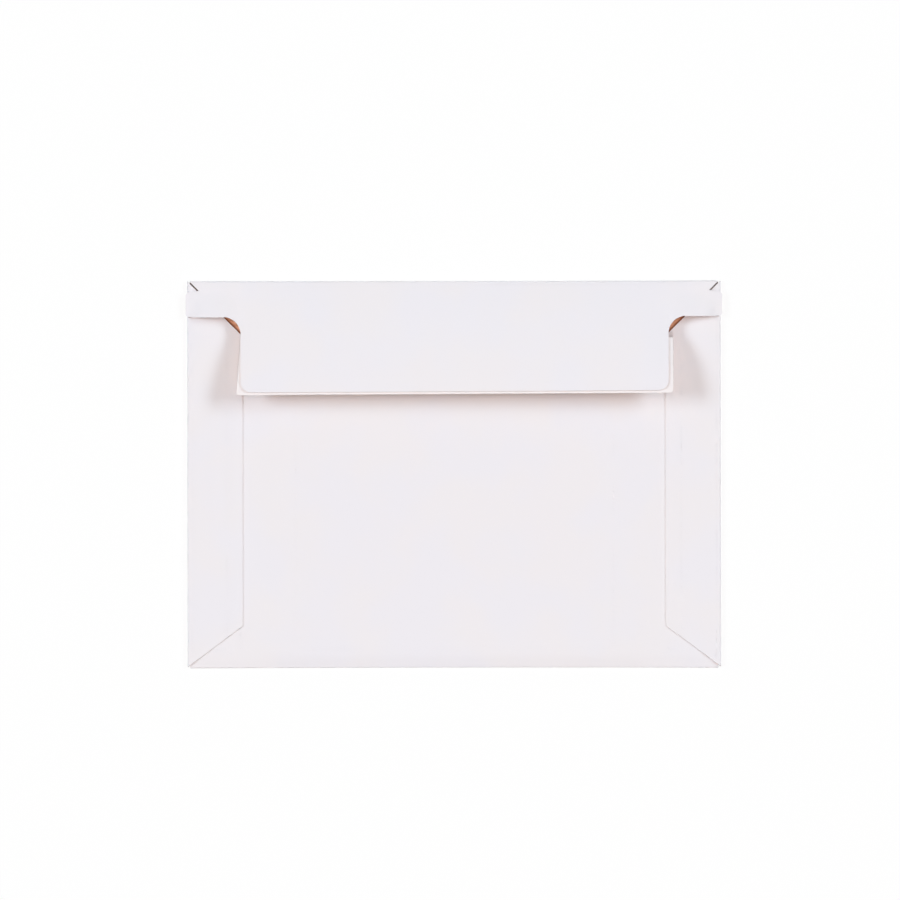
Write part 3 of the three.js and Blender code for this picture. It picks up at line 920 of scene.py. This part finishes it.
def lamp(name, bearing, elevation, breadth, depth, light, distance):
    """A soft box that looks at the envelope from a bearing (0 along +X, turning toward +Y). Its power is pi
    squared times the light that the floor is to send back, over the mean of cos cos / r squared across its
    face."""
    data = bpy.data.lights.new(name, "AREA")
    data.shape = "RECTANGLE"
    data.size = 2 * distance * math.tan(breadth / 2)
    data.size_y = 2 * distance * math.tan(depth / 2)
    flat = math.cos(elevation)
    away = Vector((flat * math.cos(bearing), flat * math.sin(bearing), math.sin(elevation)))
    turn = (-away).to_track_quat("-Z", "Y")
    steps = (np.arange(LAMP_STEPS) + 0.5) / LAMP_STEPS - 0.5
    across = np.outer(steps * data.size, turn @ Vector((1, 0, 0)))
    up = np.outer(steps * data.size_y, turn @ Vector((0, 1, 0)))
    face = across[:, None] + up + np.array(away) * distance
    square = (face ** 2).sum(-1)
    reach = (face @ np.array(away)) * face[..., Z] / square ** 2
    strongest = max(light)
    data.color = [part / strongest for part in light]
    data.energy = math.pi ** 2 * strongest / reach.mean()
    box = new_object(name, data)
    box.location = away * distance
    box.rotation_euler = turn.to_euler()
    box.visible_camera = False


def seen_directly(finish):
    """1 for what the camera sees, straight or mirrored, and 0 for light on its way to a surface."""
    kinds = ("Is Camera Ray", "Is Glossy Ray", "Is Transmission Ray")
    straight, mirrored, through = (finish.add("ShaderNodeLightPath", output=kind) for kind in kinds)
    return finish.math("MAXIMUM", straight, finish.math("MAXIMUM", mirrored, through))


class ENVELOPE_OT_stage(bpy.types.Operator):
    """Set the floor, the light and the camera"""

    bl_idname = "envelope.stage"
    bl_label = "Stage"

    def execute(self, context):
        scene = context.scene
        stage = scene.envelope_stage
        self.lights(scene, stage)
        self.floor(stage)
        self.camera(scene, stage)
        scene.view_settings.view_transform = "Standard"
        return {"FINISHED"}

    def lights(self, scene, stage):
        """Two keys from the sides, a fill from the front, a top light and an even dome. What each colour of
        the keys lacks of an even white, the others share."""
        key = np.array(stage.key_tint) * stage.key_share * stage.level
        fill = np.full(3, stage.fill_share * stage.level)
        rest = stage.level - 2 * key - fill
        keys = (("right_key", stage.right_bearing, stage.right_breadth),
                ("left_key", math.pi - stage.left_bearing, stage.left_breadth))
        for name, bearing, breadth in keys:
            lamp(name, bearing, stage.key_elevation, breadth, stage.key_depth, key, stage.lamp_distance)
        soft = (("front_fill", stage.fill_elevation, fill),
                ("top_light", math.pi / 2, rest * stage.top_part))
        for name, elevation, light in soft:
            lamp(name, -math.pi / 2, elevation, stage.soft_breadth, stage.soft_depth, light,
                 stage.lamp_distance)
        scene.world = bpy.data.worlds.new("dome")
        dome = Finish(scene.world)
        even = rest * (1 - stage.top_part)
        light = dome.add("ShaderNodeBackground", None, {"Color": (*even, 1)})
        white = dome.add("ShaderNodeBackground", None, {"Color": WHITE})
        shown = dome.add("ShaderNodeMixShader", None, {0: seen_directly(dome), 1: light, 2: white})
        dome.add("ShaderNodeOutputWorld", None, {"Surface": shown})

    def floor(self, stage):
        """A white floor that keeps part of the object's shadow and fades into the white surroundings."""
        half = stage.floor_size / 2
        corners = [(-half, -half, 0), (half, -half, 0), (half, half, 0), (-half, half, 0)]
        mesh = bpy.data.meshes.new("floor")
        mesh.from_pydata(corners, [], [(0, 1, 2, 3)])
        finish = new_finish("floor")
        matt = finish.add("ShaderNodeBsdfDiffuse", None, {"Color": WHITE})
        glow = finish.add("ShaderNodeEmission", None, {"Color": WHITE})
        settings = {"operation": "LENGTH"}
        from_middle = finish.add("ShaderNodeVectorMath", settings, {0: finish.place()}, "Value")
        bare = finish.math("MAXIMUM", finish.between(from_middle, *FLOOR_FADE), stage.floor_glow)
        mixed = finish.add("ShaderNodeMixShader", None, {0: seen_directly(finish) * bare, 1: matt, 2: glow})
        finish.add("ShaderNodeOutputMaterial", None, {"Surface": mixed})
        mesh.materials.append(finish.owner)
        floor = new_object("floor", mesh)
        floor.location.z = -FLOOR_GAP

    def camera(self, scene, stage):
        """A long lens straight above, whose picture spans the view width on the floor."""
        data = bpy.data.cameras.new("camera")
        data.lens = data.sensor_width * stage.camera_height / stage.view_width
        camera = new_object("camera", data)
        camera.location = (stage.view_x, stage.view_y, stage.camera_height)
        camera.rotation_euler.z = stage.roll
        scene.camera = camera


# Sidebar and registration

class ENVELOPE_PT_parts(bpy.types.Panel):
    """Lists the envelope's pieces and their settings"""

    bl_label = "Self-seal envelope"
    bl_space_type = "VIEW_3D"
    bl_region_type = "UI"
    bl_category = "Envelope"

    def draw(self, context):
        for operator in OPERATORS:
            self.layout.operator(operator.bl_idname)
        for group, settings in GROUPS.items():
            box = self.layout.box()
            for name in settings.__annotations__:
                box.prop(getattr(context.scene, group), name)


GROUPS = {
    "envelope_board": EnvelopeBoard,
    "envelope_flap": EnvelopeFlap,
    "envelope_strip": EnvelopeStrip,
    "envelope_colours": EnvelopeColours,
    "envelope_stage": EnvelopeStage,
}
OPERATORS = (
    ENVELOPE_OT_folded_board,
    ENVELOPE_OT_release_liner,
    ENVELOPE_OT_seal_adhesive,
    ENVELOPE_OT_seam_glue,
    ENVELOPE_OT_stage,
)


def register():
    for cls in (*GROUPS.values(), *OPERATORS, ENVELOPE_PT_parts):
        bpy.utils.register_class(cls)
    for name, cls in GROUPS.items():
        setattr(bpy.types.Scene, name, PointerProperty(type=cls))


def unregister():
    for name in GROUPS:
        delattr(bpy.types.Scene, name)
    for cls in (ENVELOPE_PT_parts, *reversed(OPERATORS), *reversed(GROUPS.values())):
        bpy.utils.unregister_class(cls)


def main():
    register()
    bpy.ops.envelope.folded_board()
    bpy.ops.envelope.release_liner()
    bpy.ops.envelope.seal_adhesive()
    bpy.ops.envelope.seam_glue()
    bpy.ops.envelope.stage()


if __name__ == "__main__":
    main()
